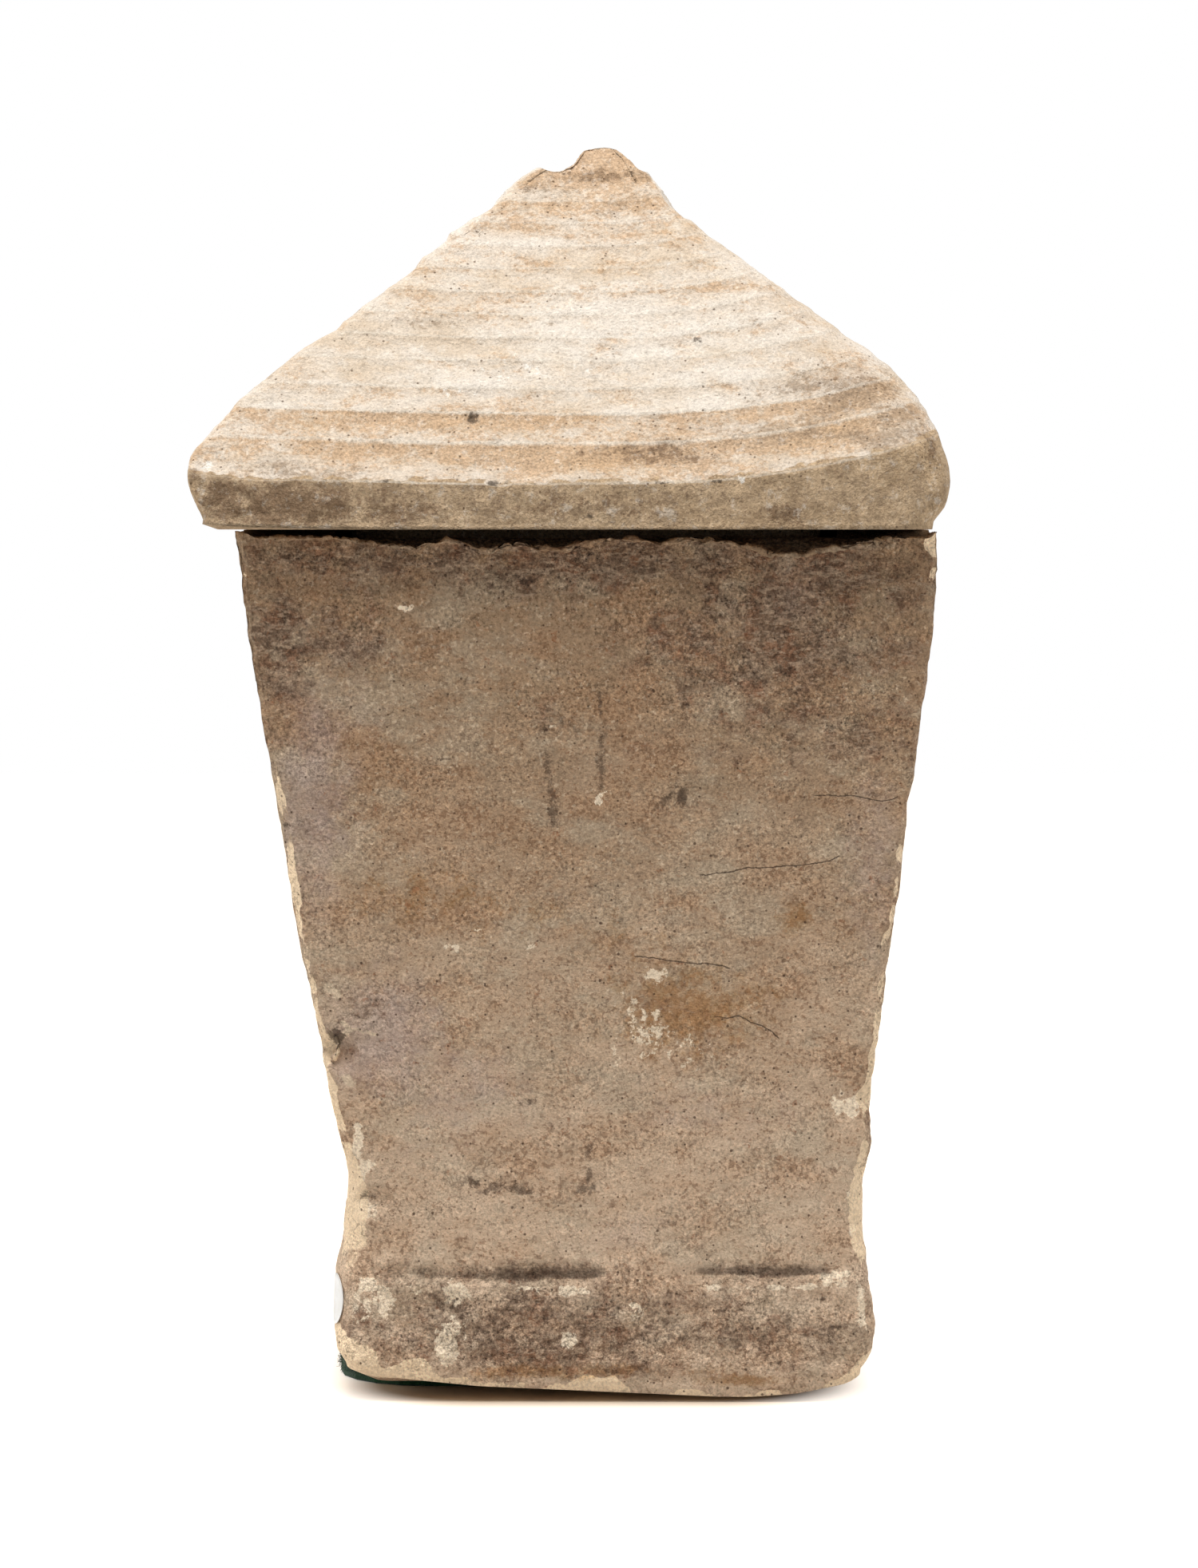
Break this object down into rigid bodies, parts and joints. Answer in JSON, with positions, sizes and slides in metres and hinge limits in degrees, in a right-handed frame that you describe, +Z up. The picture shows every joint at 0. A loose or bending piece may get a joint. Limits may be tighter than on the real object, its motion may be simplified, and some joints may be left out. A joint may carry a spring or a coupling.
{
  "type": "burial urn",
  "caption": "Tapering stone ash chest on a low plinth, hollowed for ashes and closed by a lift-off roof-shaped stone lid; felt pad under the foot.",
  "frame": {"origin": "centre of the felt pad's underside, where the urn stands", "axes": "+Z up; -Y is the short end that the picture shows; +X is that view's right"},
  "size_m": [0.3651, 0.468, 0.6216],
  "materials": {
    "chest_stone": "matt, weathered and stained limestone",
    "lid_stone": "matt, pale limestone with tooled courses",
    "green_felt": "pressed wool felt",
    "white_paper": "matt coated paper"
  },
  "bodies": {
    "chest": {"ash_chest": "chest_stone", "felt_pad": "green_felt", "paper_label": "white_paper"},
    "lid": {"roof_lid": "lid_stone"}
  },
  "joints": [
    {"name": "lid_lift", "type": "slide", "parent": "chest", "child": "lid", "axis": [0, 0, 1], "range_m": [0, 0.3]}
  ]
}
